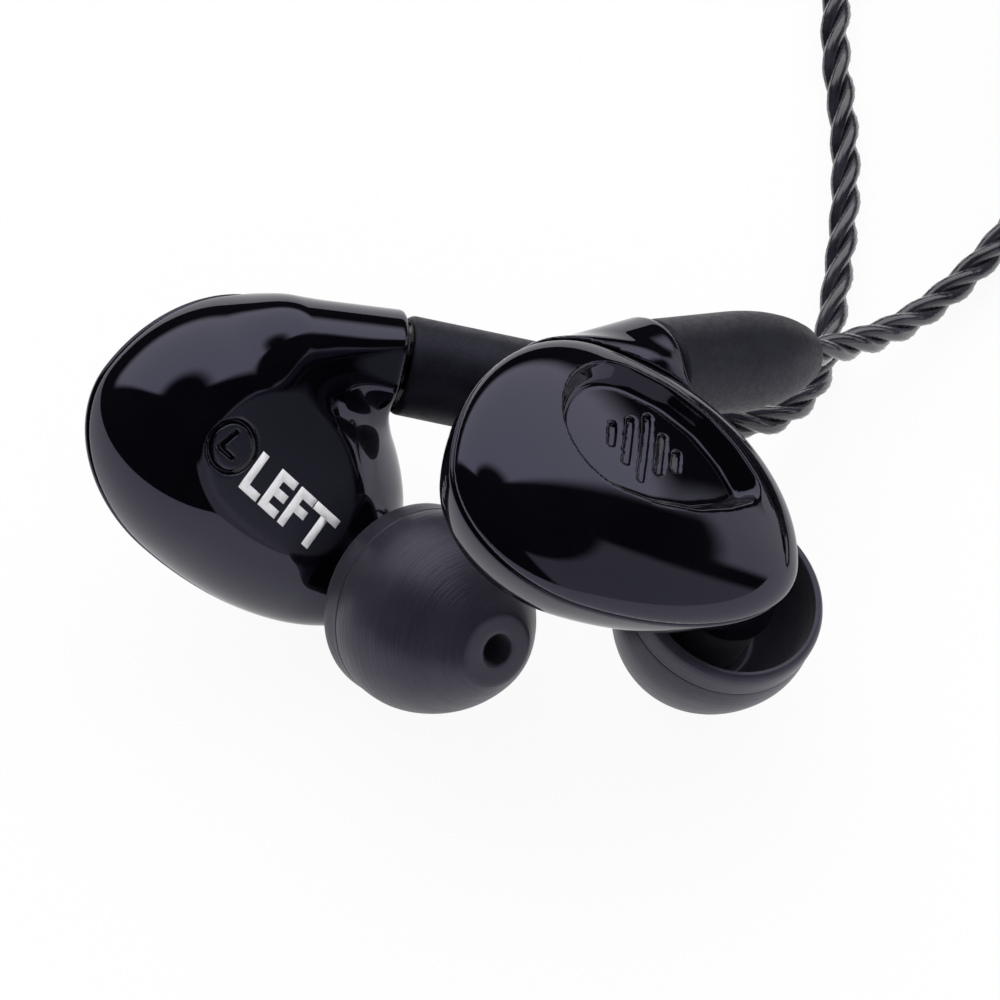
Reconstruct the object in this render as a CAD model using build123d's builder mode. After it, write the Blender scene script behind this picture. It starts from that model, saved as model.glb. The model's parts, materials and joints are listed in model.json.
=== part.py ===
"""A pair of in-ear monitors with a detachable cable, lying on a table.

Millimetres, +Z up.  Each earpiece is drawn once, as the right one, in a frame of its own:
X runs along the egg from its wide end to its narrow end, Y points up to the cable side and
Z points out of the ear.  The left one is its mirror image.  Both are then laid on the table.
"""
import os
from math import cos, pi, radians, sin, tan

from build123d import *

os.makedirs("parts", exist_ok=True)

# Housing: an egg made of quarter ellipsoids that meet at the parting plane
EGG_WIDE = 9.7
EGG_NARROW = 15.0
EGG_TOP = 11.0
EGG_BOTTOM = 7.1
COVER_DEPTH = 3.4
INNER_DEPTH = 7.4
WALL = 1.0
COVER_ROOF = 1.8

# Dish pressed into the outer cover, with five plain bars engraved in its floor
DISH_CENTRE = (3.4, 4.05, 3.0)
DISH_TILT = (0.06, 0.14, 0.99)
DISH_TURN = -7.4
DISH_DEPTH = 1.0
DISH_EGG = ((-2.7, 4.8), (1.5, 4.05), (5.85, 1.15))
BAR_HEIGHTS = (1.8, 3.6, 5.2, 3.0, 1.6)
BAR_MIDDLE = 2.4
BAR_WIDTH = 0.55
BAR_PITCH = 1.15
BAR_DEPTH = 0.25

# Side mark on the inner face: a round groove about a raised letter button
MARK_CENTRE = (-2.6, 0.35)
MARK_RADIUS = 1.7
GROOVE = 0.2
GROOVE_TOP = 0.75

# Neck that holds the cable socket, and its axis
NECK_END = Vector(4.9, 12.0, -2.7)
CONNECTOR_WAY = Vector(0.854, 0.451, -0.258).normalized()
NECK_RADIUS = 3.45
NECK_ROOT = Vector(-1.0, 5.5, -3.0)
NECK_ROOT_RADIUS = 4.2

# Nozzle, and the boss that carries it
NOZZLE_SEAT = Vector(13.9, 0.7, -6.1)
NOZZLE_WAY = Vector(0.18, -0.05, -0.98).normalized()
NOZZLE_RADIUS = 2.25
NOZZLE_BORE = 1.5
NOZZLE_LENGTH = 7.0
NOZZLE_ROOT = 2.2
BOSS_TOP = 0.8
BOSS_RADIUS = 3.3
BOSS_BASE = Vector(10.2, 0.4, -2.4)
BOSS_BASE_RADIUS = 3.8
MESH_THICK = 0.2
MESH_LEDGE = 0.3
MESH_PITCH = 0.3
MESH_HOLE = 0.16

# Ear tip of soft silicone
TIP_RADIUS = 6.4
TIP_LENGTH = 10.5
TIP_CORE_RADIUS = 3.0
TIP_CORE_START = 1.1
TIP_HOLE = 1.0
TIP_SKIRT = 0.7

# Driver, a small moving-coil unit on its own axis
DRIVER_CENTRE = Vector(1.6, 1.8, -2.5)
DRIVER_WAY = Vector(0.80, -0.10, -0.59).normalized()
DRIVER_RADIUS = 3.0
DRIVER_DEPTH = 2.7
BRACKET_THICK = 1.0
YOKE_RADIUS = 2.2
MAGNET_RADIUS = 1.3
COIL_OUTER = 1.62
COIL_INNER = 1.42
BOARD_RADIUS = 1.6
BOARD_THICK = 0.3
WIRE_RADIUS = 0.18
WIRE_APART = 0.9

# Coaxial snap connector: socket in the neck, plug in the barrel
SOCKET_RADIUS = 2.2
SOCKET_BORE = 1.6
SOCKET_DEPTH = 4.2
SOCKET_FLANGE = 0.3
WIRE_WAY_RADIUS = 1.2
CONTACT_RADIUS = 0.45
PIN_RADIUS = 0.18
PLUG_BORE = 1.15
PLUG_REAR = 5.0
RING_WIDTH = 0.4
FACE_GAP = 0.45

# Barrel over the plug
BARREL_RADIUS = 3.2
BARREL_LENGTH = 17.4
BARREL_TAPER = 11.5
BARREL_END = 1.6
BARREL_NOSE = 2.65

# Cable: two legs, one lead, laid up in a coil
LEG_RADIUS = 1.0
LEAD_RADIUS = 1.2
CORD_START = 14.0
CORD_BEND = 23.5
COIL_MEAN = 13.5
COIL_HALF = 5.8
COIL_HEIGHT = 8.6
COIL_CORNER = 2.4
TIE_THICK = 0.9
TIE_WIDTH = 4.0
TIE_ANGLE = -10

# Splitter, chin slider and 3.5 mm plug
SPLITTER_RADIUS = 2.6
SPLITTER_LENGTH = 13.0
SLIDER_RADIUS = 2.5
SLIDER_LENGTH = 5.0
SLIDER_START = 1.0
SLIDER_THICK = 0.8
LEG_SPACING = 2.2
JACK_RADIUS = 3.1
JACK_LENGTH = 12.0
RELIEF_LENGTH = 6.0
PIN_STEM = 1.75
PIN_INNER = 0.9
PIN_CORE = 0.4
PIN_NECK = 1.2
PIN_GAP = 0.6
PIN_LENGTH = 14.0
SLEEVE_LENGTH = 7.0
RING_LENGTH = 2.2

# Clearances
RUNNING = 0.05
CORD_CLEAR = 0.15

# Where each earpiece lies on the table: origin, its X way and its Z way
RIGHT_PLACE = Plane(origin=(7.83, -7.11, 22.89), x_dir=(0.866, -0.022, -0.500),
                    z_dir=(0.497, -0.071, 0.865))
LEFT_PLACE = Plane(origin=(-15.96, 3.08, 11.01), x_dir=(0.649, -0.274, -0.710),
                   z_dir=(0.479, -0.578, 0.661))
COIL_CENTRE = Vector(56.9, 36.4, 0)

# Cable routes between the barrels and the coil
LEFT_ROUTE = (
    (22.2, 13.2, 1.9), (23.3, 20.9, 1.0), (24.3, 31.4, 1.0), (23.0, 43.4, 1.0),
    (26.9, 54.4, 1.0), (36.4, 59.4, 1.0), (46.4, 57.4, 1.4), (53.9, 53.0, 2.0),
)
RIGHT_ROUTE = ((32.4, 21.6, 1.4), (37.0, 27.9, 1.0), (40.0, 34.9, 1.6))

# Both legs between the splitter and the coil: a place beside the coil and the way they lie apart
LEG_TAIL = (
    ((0, 12.0, SPLITTER_RADIUS), (1, 0, 0)), ((-3.6, 20.2, 1.8), (0.8, 0.7, 0)),
    ((-11.0, 23.6, 1.4), (0.1, 1.1, 0)), ((-18.5, 17.6, 1.8), (-0.5, 1.0, 0)),
)

# The lead from the splitter back to the coil, from the same corner, and its end on top of the coil
LEAD_BACK = (
    (0, -21.8, 2.6), (-2.2, -26.6, 1.8), (-9.5, -29.0, 1.3), (-16.5, -24.5, 1.5), (-20.5, -17.0, 2.2),
)
LEAD_END = ((-82, 7.4), (-106, 9.4), (-129, 10.4), (-152, 11.3))


def egg(inset, depth_out, depth_in):
    """The egg, drawn in by inset, as deep as asked on each side of the parting plane."""
    with BuildPart() as body:
        for along, flip_x in ((EGG_NARROW - inset, False), (EGG_WIDE - inset, True)):
            for up, flip_y in ((EGG_TOP - inset, False), (EGG_BOTTOM - inset, True)):
                for deep, flip_z in ((depth_out, False), (depth_in, True)):
                    if not deep:
                        continue
                    eighth = Sphere(1, arc_size1=0, arc_size2=90, arc_size3=90, align=None,
                                    mode=Mode.PRIVATE)
                    eighth = scale(eighth, by=(along, up, deep), mode=Mode.PRIVATE)
                    if flip_x:
                        eighth = mirror(eighth, about=Plane.YZ, mode=Mode.PRIVATE)
                    if flip_y:
                        eighth = mirror(eighth, about=Plane.XZ, mode=Mode.PRIVATE)
                    if flip_z:
                        eighth = mirror(eighth, about=Plane.XY, mode=Mode.PRIVATE)
                    add(eighth)
    return body.part


def boss(base, base_radius, top, top_radius, way):
    """A tapered boss between two circles that face the same way."""
    with BuildPart() as cone:
        with BuildSketch(Plane(origin=base, z_dir=way)):
            Circle(base_radius)
        with BuildSketch(Plane(origin=top, z_dir=way)):
            Circle(top_radius)
        loft()
    return cone.part


def turned(axis_plane, steps):
    """A turned piece: each step is (start, end, outer radius, bore radius) along the axis."""
    with BuildPart() as piece:
        for start, end, outer, bore in steps:
            with BuildSketch(axis_plane.offset(start)):
                Circle(outer)
                if bore:
                    Circle(bore, mode=Mode.SUBTRACT)
            extrude(amount=end - start)
    return piece


def spun(axis_plane, outline):
    """A piece turned from a closed outline of (radius, distance along the axis)."""
    with BuildPart() as piece:
        with BuildSketch(Plane.XZ):
            with BuildLine():
                Polyline(*outline, close=True)
            make_face()
        revolve(axis=Axis.Z)
    piece.part = piece.part.moved(axis_plane.location)
    return piece


def cord(route, radius):
    """A round cord along straight runs that tangent arcs join, each as wide as its runs allow."""
    points = [Vector(*point) for point in route]
    radii = []
    for before, corner, after in zip(points, points[1:], points[2:]):
        run_in = corner - before
        run_out = after - corner
        turn = run_in.get_angle(run_out)
        radii.append(0.45 * min(run_in.length, run_out.length) / tan(radians(turn) / 2))
    with BuildPart() as tube:
        with BuildLine() as path:
            if radii:
                FilletPolyline(*points, radius=radii)
            else:
                Line(*points)
        with BuildSketch(Plane(origin=path.line @ 0, z_dir=path.line % 0)):
            Circle(radius)
        sweep()
    length = path.wire().length
    print("cord", [round(value, 1) for value in radii], round(length, 1),
          round(tube.part.volume / (pi * radius**2 * length), 4))
    return tube


def keep(piece, name):
    """Write one piece under its own name."""
    piece.part.label = name
    export_step(piece.part, f"parts/{name}.step")


def keep_pair(piece, name):
    """Write a piece of the earpiece twice: as drawn for the right ear, mirrored for the left."""
    with BuildPart() as right:
        add(piece.part.moved(RIGHT_PLACE.location))
    keep(right, f"right_{name}")
    with BuildPart() as left:
        add(mirror(piece.part, about=Plane.XY, mode=Mode.PRIVATE).moved(LEFT_PLACE.location))
    keep(left, f"left_{name}")


neck = Plane(origin=NECK_END, z_dir=CONNECTOR_WAY)
nozzle = Plane(origin=NOZZLE_SEAT, z_dir=NOZZLE_WAY)
driver = Plane(origin=DRIVER_CENTRE - DRIVER_WAY * DRIVER_DEPTH / 2, z_dir=DRIVER_WAY)
cavity = egg(WALL, COVER_DEPTH - COVER_ROOF, INNER_DEPTH - WALL)

# ---- housing ---------------------------------------------------------------------------------
dish_face = Plane(origin=DISH_CENTRE, x_dir=(1, 0, 0), z_dir=DISH_TILT).rotated((0, 0, DISH_TURN))
dish_floor = dish_face.offset(-DISH_DEPTH)

with BuildPart() as cover:
    add(egg(0, COVER_DEPTH, 0))
    add(cavity, mode=Mode.SUBTRACT)
    add(boss(NECK_ROOT, NECK_ROOT_RADIUS + RUNNING, NECK_END, NECK_RADIUS + RUNNING, CONNECTOR_WAY),
        mode=Mode.SUBTRACT)
    with BuildSketch(dish_floor):
        for centre, radius in DISH_EGG:
            with Locations((centre, 0)):
                Circle(radius)
        make_hull()
    extrude(amount=3 * DISH_DEPTH, mode=Mode.SUBTRACT)
    with BuildSketch(dish_floor):
        for index, height in enumerate(BAR_HEIGHTS):
            with Locations(((index - BAR_MIDDLE) * BAR_PITCH, 0)):
                SlotOverall(height, BAR_WIDTH, rotation=90)
    extrude(amount=-BAR_DEPTH, mode=Mode.SUBTRACT)
keep_pair(cover, "cover")

with BuildPart() as inner_housing:
    add(egg(0, 0, INNER_DEPTH))
    add(boss(NECK_ROOT, NECK_ROOT_RADIUS, NECK_END, NECK_RADIUS, CONNECTOR_WAY))
    add(boss(BOSS_BASE, BOSS_BASE_RADIUS, NOZZLE_SEAT + NOZZLE_WAY * BOSS_TOP, BOSS_RADIUS, NOZZLE_WAY))
    add(cavity, mode=Mode.SUBTRACT)
    with BuildSketch(neck):
        Circle(SOCKET_RADIUS)
    extrude(amount=-SOCKET_DEPTH, mode=Mode.SUBTRACT)
    with BuildSketch(neck):
        Circle(WIRE_WAY_RADIUS)
    extrude(amount=-2.4 * SOCKET_DEPTH, mode=Mode.SUBTRACT)
    with BuildSketch(nozzle.offset(BOSS_TOP)):
        Circle(NOZZLE_RADIUS)
    extrude(amount=-BOSS_TOP - NOZZLE_ROOT, mode=Mode.SUBTRACT)
    with BuildSketch(nozzle):
        Circle(NOZZLE_BORE)
    extrude(amount=-6, mode=Mode.SUBTRACT)
    with BuildSketch(Plane.XY.offset(-INNER_DEPTH)):
        with Locations(MARK_CENTRE):
            Circle(MARK_RADIUS)
            Circle(MARK_RADIUS - GROOVE, mode=Mode.SUBTRACT)
    extrude(amount=GROOVE_TOP, mode=Mode.SUBTRACT)
keep_pair(inner_housing, "inner_housing")

# ---- nozzle and ear tip ----------------------------------------------------------------------
screen_at = NOZZLE_LENGTH - MESH_THICK
nozzle_tube = turned(nozzle, ((-NOZZLE_ROOT, screen_at, NOZZLE_RADIUS, NOZZLE_BORE),
                              (screen_at, NOZZLE_LENGTH, NOZZLE_RADIUS, NOZZLE_BORE + MESH_LEDGE)))
keep_pair(nozzle_tube, "nozzle_tube")

with BuildPart() as nozzle_screen:
    with BuildSketch(nozzle.offset(screen_at)):
        Circle(NOZZLE_BORE + MESH_LEDGE)
        with HexLocations(MESH_PITCH, 3, 3):
            Circle(MESH_HOLE, mode=Mode.SUBTRACT)
    extrude(amount=MESH_THICK)
keep_pair(nozzle_screen, "nozzle_screen")

core_bore = NOZZLE_RADIUS + RUNNING
core_top = NOZZLE_LENGTH + 0.3
ear_tip = spun(nozzle, (
    (TIP_RADIUS - 0.35, 0), (TIP_RADIUS, 0.6), (TIP_RADIUS, 2.2), (TIP_RADIUS - 0.5, 4.4),
    (TIP_RADIUS - 1.7, 7.0), (TIP_RADIUS - 3.1, 9.3), (TIP_RADIUS - 4.0, TIP_LENGTH),
    (TIP_HOLE, TIP_LENGTH), (TIP_HOLE, core_top), (core_bore, core_top), (core_bore, TIP_CORE_START),
    (TIP_CORE_RADIUS, TIP_CORE_START), (TIP_CORE_RADIUS, 5.8), (TIP_RADIUS - 2.2, 5.2),
    (TIP_RADIUS - 0.5 - TIP_SKIRT, 3.6), (TIP_RADIUS - TIP_SKIRT, 1.8), (TIP_RADIUS - TIP_SKIRT, 0)))
keep_pair(ear_tip, "ear_tip")

# ---- driver ----------------------------------------------------------------------------------
with BuildPart() as driver_bracket:
    with BuildSketch(driver.offset(DRIVER_DEPTH / 2 - BRACKET_THICK / 2)):
        Rectangle(30, 30)
    extrude(amount=BRACKET_THICK)
    add(egg(WALL + RUNNING, COVER_DEPTH - COVER_ROOF - RUNNING, INNER_DEPTH - WALL - RUNNING),
        mode=Mode.INTERSECT)
    with BuildSketch(driver):
        Circle(DRIVER_RADIUS)
    extrude(amount=DRIVER_DEPTH, mode=Mode.SUBTRACT)
    with BuildSketch(neck.offset(-SOCKET_DEPTH - 1.5)):
        Circle(SOCKET_RADIUS + 2 * RUNNING)
    extrude(amount=SOCKET_DEPTH, mode=Mode.SUBTRACT)
keep_pair(driver_bracket, "driver_bracket")

basket = turned(driver, ((0.6, 1.6, DRIVER_RADIUS, YOKE_RADIUS),
                         (1.6, 2.0, DRIVER_RADIUS, YOKE_RADIUS + 0.3),
                         (2.0, DRIVER_DEPTH, DRIVER_RADIUS, DRIVER_RADIUS - 0.25)))
keep_pair(basket, "driver_basket")

yoke = turned(driver, ((0, 0.4, YOKE_RADIUS, 0), (0.4, 1.6, YOKE_RADIUS, YOKE_RADIUS - 0.45)))
keep_pair(yoke, "driver_yoke")

magnet = turned(driver, ((0.4, 1.2, MAGNET_RADIUS, 0),))
keep_pair(magnet, "driver_magnet")

top_plate = turned(driver, ((1.2, 1.55, MAGNET_RADIUS, 0),))
keep_pair(top_plate, "driver_top_plate")

voice_coil = turned(driver, ((0.7, 2.0, COIL_OUTER, COIL_INNER),))
keep_pair(voice_coil, "voice_coil")

diaphragm = spun(driver, (
    (0, 2.3), (COIL_INNER, 2.0), (COIL_OUTER, 2.0), (2.1, 2.15), (DRIVER_RADIUS - 0.5, 2.0),
    (DRIVER_RADIUS - 0.25, 2.0), (DRIVER_RADIUS - 0.25, 2.1), (DRIVER_RADIUS - 0.5, 2.1),
    (2.1, 2.25), (COIL_OUTER, 2.1), (COIL_INNER, 2.1), (0, 2.4)))
keep_pair(diaphragm, "diaphragm")

with BuildPart() as driver_grille:
    with BuildSketch(driver.offset(DRIVER_DEPTH)):
        Circle(DRIVER_RADIUS)
        with PolarLocations(1.6, 6):
            Circle(0.35, mode=Mode.SUBTRACT)
        Circle(0.5, mode=Mode.SUBTRACT)
    extrude(amount=0.2)
keep_pair(driver_grille, "driver_grille")

driver_board = turned(driver, ((-BOARD_THICK, 0, BOARD_RADIUS, 0),))
keep_pair(driver_board, "driver_board")

# ---- socket and plug -------------------------------------------------------------------------
socket_body = turned(neck, ((-SOCKET_DEPTH, 0, SOCKET_RADIUS, SOCKET_BORE),
                            (0, SOCKET_FLANGE, SOCKET_RADIUS + SOCKET_FLANGE, SOCKET_BORE)))
keep_pair(socket_body, "socket_body")

insulator_top = 0.4 - 0.7 * SOCKET_DEPTH
socket_insulator = turned(neck, ((-SOCKET_DEPTH, insulator_top, SOCKET_BORE, CONTACT_RADIUS),))
keep_pair(socket_insulator, "socket_insulator")

contact_end = -SOCKET_DEPTH - 0.5
socket_contact = turned(neck, ((contact_end, -SOCKET_DEPTH + 0.8, CONTACT_RADIUS, 0),
                               (-SOCKET_DEPTH + 0.8, -1.0, CONTACT_RADIUS, PIN_RADIUS + RUNNING)))
keep_pair(socket_contact, "socket_contact")

plug_radius = SOCKET_BORE - RUNNING
groove_floor = plug_radius - 0.25
ring_at = -1.0
plug_core = turned(neck, ((-2.2, ring_at - RUNNING, plug_radius, PLUG_BORE),
                          (ring_at - RUNNING, ring_at + RING_WIDTH + RUNNING, groove_floor, PLUG_BORE),
                          (ring_at + RING_WIDTH + RUNNING, 0.7, plug_radius, PLUG_BORE),
                          (0.7, 2.0, BARREL_NOSE, PLUG_BORE),
                          (2.0, PLUG_REAR, plug_radius, PLUG_BORE)))
keep_pair(plug_core, "plug_core")

plug_insulator = turned(neck, ((-0.4, PLUG_REAR - 1.0, PLUG_BORE, 0.4),))
keep_pair(plug_insulator, "plug_insulator")

plug_pin = turned(neck, ((-2.4, -0.4, PIN_RADIUS, 0), (-0.4, PLUG_REAR, 0.4, 0)))
keep_pair(plug_pin, "plug_pin")

with BuildPart() as snap_ring:
    with BuildSketch(neck.offset(ring_at)):
        Circle(plug_radius + 0.02)
        Circle(groove_floor + RUNNING, mode=Mode.SUBTRACT)
        with Locations((plug_radius, 0)):
            Rectangle(1.2, 0.6, mode=Mode.SUBTRACT)
    extrude(amount=RING_WIDTH)
keep_pair(snap_ring, "snap_ring")

cord_passage = LEG_RADIUS + CORD_CLEAR
barrel = spun(neck, (
    (BARREL_RADIUS - 0.15, FACE_GAP), (BARREL_RADIUS, FACE_GAP + 0.15), (BARREL_RADIUS, BARREL_TAPER),
    (BARREL_RADIUS - 0.45, 14.0), (BARREL_RADIUS - 1.2, 16.4), (BARREL_END, BARREL_LENGTH),
    (cord_passage, BARREL_LENGTH), (cord_passage, PLUG_REAR + 0.8), (plug_radius, PLUG_REAR + 0.3),
    (plug_radius, 2.0), (BARREL_NOSE, 2.0), (BARREL_NOSE, FACE_GAP)))
keep_pair(barrel, "barrel")

# ---- leads inside the housing ----------------------------------------------------------------
with BuildPart() as lead_wires:
    for side in (-1, 1):
        shift = side * WIRE_APART / 2
        start = neck.offset(contact_end - 0.05).from_local_coords(Vector(0, shift, 0))
        bend = neck.offset(-9.2).from_local_coords(Vector(0, shift, 0))
        above = driver.offset(-2.2).from_local_coords(Vector(0, shift, 0))
        end = driver.offset(-BOARD_THICK - 0.02).from_local_coords(Vector(0, shift, 0))
        with BuildLine() as wire_path:
            FilletPolyline(start, bend, above, end, radius=0.6)
        with BuildSketch(Plane(origin=wire_path.line @ 0, z_dir=wire_path.line % 0)):
            Circle(WIRE_RADIUS)
        sweep()
keep_pair(lead_wires, "lead_wires")

# ---- cable legs ------------------------------------------------------------------------------
right_neck = Plane(origin=RIGHT_PLACE.from_local_coords(NECK_END),
                   z_dir=RIGHT_PLACE.from_local_coords(NECK_END + CONNECTOR_WAY)
                   - RIGHT_PLACE.from_local_coords(NECK_END))
mirrored_end = Vector(NECK_END.X, NECK_END.Y, -NECK_END.Z)
mirrored_way = Vector(CONNECTOR_WAY.X, CONNECTOR_WAY.Y, -CONNECTOR_WAY.Z)
left_neck = Plane(origin=LEFT_PLACE.from_local_coords(mirrored_end),
                  z_dir=LEFT_PLACE.from_local_coords(mirrored_end + mirrored_way)
                  - LEFT_PLACE.from_local_coords(mirrored_end))
for side, base, route in (("left", left_neck, LEFT_ROUTE), ("right", right_neck, RIGHT_ROUTE)):
    start = base.offset(CORD_START).origin
    bend = base.offset(CORD_BEND).origin
    print(side, "cord starts at", start, "bends at", bend, "leaves at", base.offset(BARREL_LENGTH).origin)
    leg = cord((start, bend, *[Vector(*point) for point in route]), LEG_RADIUS)
    keep(leg, f"{side}_leg")

# ---- coil, tie, splitter, slider and plug ----------------------------------------------------
def bundle_outline(inset):
    """The outline of the wound bundle, in the upright plane through the coil's centre."""
    with Locations((COIL_CENTRE.X + COIL_MEAN, COIL_HEIGHT / 2)):
        RectangleRounded(2 * (COIL_HALF - inset), COIL_HEIGHT - 2 * inset, COIL_CORNER - 0.8 * inset)


coil_axis = Axis((COIL_CENTRE.X, COIL_CENTRE.Y, 0), (0, 0, 1))
coil_section = Plane(origin=(0, COIL_CENTRE.Y, 0), x_dir=(1, 0, 0), z_dir=(0, -1, 0))
tie_sweep = TIE_WIDTH / COIL_MEAN * 180 / pi

with BuildPart() as coil_tie:
    with BuildSketch(coil_section):
        bundle_outline(0)
        with Locations((COIL_CENTRE.X + COIL_MEAN, COIL_HEIGHT / 2)):
            RectangleRounded(2 * (COIL_HALF - TIE_THICK), COIL_HEIGHT - 2 * TIE_THICK,
                             COIL_CORNER - 0.8 * TIE_THICK, mode=Mode.SUBTRACT)
    revolve(axis=coil_axis, revolution_arc=tie_sweep)
coil_tie.part = coil_tie.part.rotate(coil_axis, TIE_ANGLE)
keep(coil_tie, "coil_tie")

with BuildPart() as cable_coil:
    with BuildSketch(coil_section):
        bundle_outline(0)
    revolve(axis=coil_axis)
    add(coil_tie.part, mode=Mode.SUBTRACT)
keep(cable_coil, "cable_coil")

yoke_line = COIL_CENTRE + Vector(COIL_MEAN + COIL_HALF + 4.0, 0, 0)
splitter_top = yoke_line + Vector(0, -4.0, SPLITTER_RADIUS)
splitter_axis = Plane(origin=splitter_top, x_dir=(1, 0, 0), z_dir=(0, -1, 0))

with BuildPart() as splitter:
    with BuildSketch(splitter_axis):
        Circle(SPLITTER_RADIUS)
    extrude(amount=SPLITTER_LENGTH)
    fillet(splitter.edges().filter_by(GeomType.CIRCLE), 0.8)
keep(splitter, "splitter")

with BuildPart() as chin_slider:
    with BuildSketch(splitter_axis.offset(-SLIDER_START)):
        SlotCenterToCenter(SLIDER_THICK, 2 * SLIDER_RADIUS - 0.2)
    extrude(amount=-SLIDER_LENGTH)
    with BuildSketch(splitter_axis.offset(-SLIDER_START)):
        with GridLocations(LEG_SPACING, 0, 2, 1):
            Circle(LEG_RADIUS + RUNNING)
    extrude(amount=-SLIDER_LENGTH, mode=Mode.SUBTRACT)
keep(chin_slider, "chin_slider")

with BuildPart() as leg_tails:
    for side in (-1, 1):
        route = [splitter_top + Vector(side * LEG_SPACING / 2, 0, 0)]
        for place, apart in LEG_TAIL:
            route.append(yoke_line + Vector(*place) + Vector(*apart) * side * LEG_SPACING / 2)
        add(cord(route, LEG_RADIUS).part)
keep(leg_tails, "leg_tails")

splitter_foot = splitter_axis.offset(SPLITTER_LENGTH).origin
lead_back = cord([splitter_foot] + [yoke_line + Vector(*place) for place in LEAD_BACK], LEAD_RADIUS)

jack_axis = Plane(origin=COIL_CENTRE + Vector(-12.5, -1.0, COIL_HEIGHT + JACK_RADIUS),
                  x_dir=(1, 0, 0), z_dir=(0, 1, 0))
jack_relief = spun(jack_axis, ((LEAD_RADIUS, 0), (LEAD_RADIUS + 0.5, 0), (JACK_RADIUS - 0.7, RELIEF_LENGTH),
                               (LEAD_RADIUS, RELIEF_LENGTH)))
keep(jack_relief, "jack_relief")

jack_housing = turned(jack_axis, ((RELIEF_LENGTH, RELIEF_LENGTH + JACK_LENGTH, JACK_RADIUS, 0),))
keep(jack_housing, "jack_housing")

pin_at = RELIEF_LENGTH + JACK_LENGTH
sleeve_end = pin_at + SLEEVE_LENGTH
ring_from = sleeve_end + PIN_GAP
ring_to = ring_from + RING_LENGTH
tip_from = ring_to + PIN_GAP
jack_sleeve = turned(jack_axis, ((pin_at, sleeve_end, PIN_STEM, PIN_INNER),))
keep(jack_sleeve, "jack_sleeve")

jack_ring = turned(jack_axis, ((ring_from, ring_to, PIN_STEM, PIN_INNER),))
keep(jack_ring, "jack_ring")

jack_insulator = turned(jack_axis, (
    (pin_at, sleeve_end, PIN_INNER, PIN_CORE), (sleeve_end, ring_from, PIN_STEM, PIN_CORE),
    (ring_from, ring_to, PIN_INNER, PIN_CORE), (ring_to, tip_from, PIN_STEM, PIN_CORE)))
keep(jack_insulator, "jack_insulator")

pin_end = pin_at + PIN_LENGTH
jack_tip = spun(jack_axis, (
    (0, pin_at), (PIN_CORE, pin_at), (PIN_CORE, tip_from), (PIN_STEM, tip_from), (PIN_STEM, tip_from + 0.5),
    (PIN_NECK, tip_from + 1.1), (PIN_STEM, tip_from + 1.8), (PIN_INNER, pin_end), (0, pin_end)))
keep(jack_tip, "jack_tip")

lead_route = []
for angle, height in LEAD_END:
    turn = radians(angle)
    lead_route.append(COIL_CENTRE + Vector(COIL_MEAN * cos(turn), COIL_MEAN * sin(turn), height))
lead_front = cord([*lead_route, jack_axis.origin], LEAD_RADIUS)
with BuildPart() as lead_ends:
    add(lead_back.part)
    add(lead_front.part)
keep(lead_ends, "lead_ends")
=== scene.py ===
"""A pair of in-ear monitors lying on a pale table, their twisted cable led away to a tied coil.

Metres, +Z up.  Sizes of the earpieces are given in millimetres in the earpiece's own frame:
X along the egg to its narrow end, Y to the cable side and Z out of the ear.
"""

import json
from math import cos, pi, radians, sin

import bmesh
import bpy
import numpy as np
from mathutils import Matrix, Vector


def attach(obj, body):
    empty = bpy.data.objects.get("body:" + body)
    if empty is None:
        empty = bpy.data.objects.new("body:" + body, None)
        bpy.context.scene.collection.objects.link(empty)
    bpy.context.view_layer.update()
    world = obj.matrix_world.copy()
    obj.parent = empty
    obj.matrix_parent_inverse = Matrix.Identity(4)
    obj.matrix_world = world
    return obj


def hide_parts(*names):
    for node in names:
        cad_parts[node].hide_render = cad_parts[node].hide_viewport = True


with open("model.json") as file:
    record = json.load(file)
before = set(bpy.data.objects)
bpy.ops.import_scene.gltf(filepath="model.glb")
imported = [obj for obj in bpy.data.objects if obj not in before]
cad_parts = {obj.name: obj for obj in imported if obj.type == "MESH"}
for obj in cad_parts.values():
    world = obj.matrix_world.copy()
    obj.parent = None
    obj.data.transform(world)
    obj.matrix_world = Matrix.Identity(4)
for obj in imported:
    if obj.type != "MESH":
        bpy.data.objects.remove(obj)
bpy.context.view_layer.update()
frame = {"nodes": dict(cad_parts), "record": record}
nodes = frame["nodes"]


# ---- Housing shells ------------------------------------------------------------------------
# Each earpiece is two moulded shells of black gloss plastic, cemented along a fine parting
# line: an outer cover with a pressed dish, and an inner shell with the neck and nozzle boss.
# The shells are hollow, 1 mm thick, with every join blended by a small radius.
LIES = {
    "right": ((7.83, -7.11, 22.89), (0.866, -0.022, -0.500), (0.497, -0.071, 0.865)),
    "left": ((-15.96, 3.08, 11.01), (0.649, -0.274, -0.710), (0.479, -0.578, 0.661)),
}
NECK_FACE = (4.9, 12.0, -2.7)
NECK_WAY = tuple(Vector((0.854, 0.451, -0.258)).normalized())
NOZZLE_SEAT = (13.9, 0.7, -6.1)
NOZZLE_WAY = tuple(Vector((0.18, -0.05, -0.98)).normalized())
OUTER_DEPTH = 3.4
INNER_DEPTH = 7.4
WALL = 1.0
PARTING_GAP = 0.02
PARTING_EDGE = 0.34


def lying(side):
    """The matrix from an earpiece's own millimetres to the table; the left one is mirrored."""
    origin, along, outward = LIES[side]
    outward = Vector(outward).normalized()
    along = Vector(along) - Vector(along).dot(outward) * outward
    along.normalize()
    upward = outward.cross(along)
    if side == "left":
        outward = -outward
    turned = Matrix((along, upward, outward)).transposed().to_4x4()
    return Matrix.Scale(0.001, 4) @ Matrix.Translation(origin) @ turned


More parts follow.
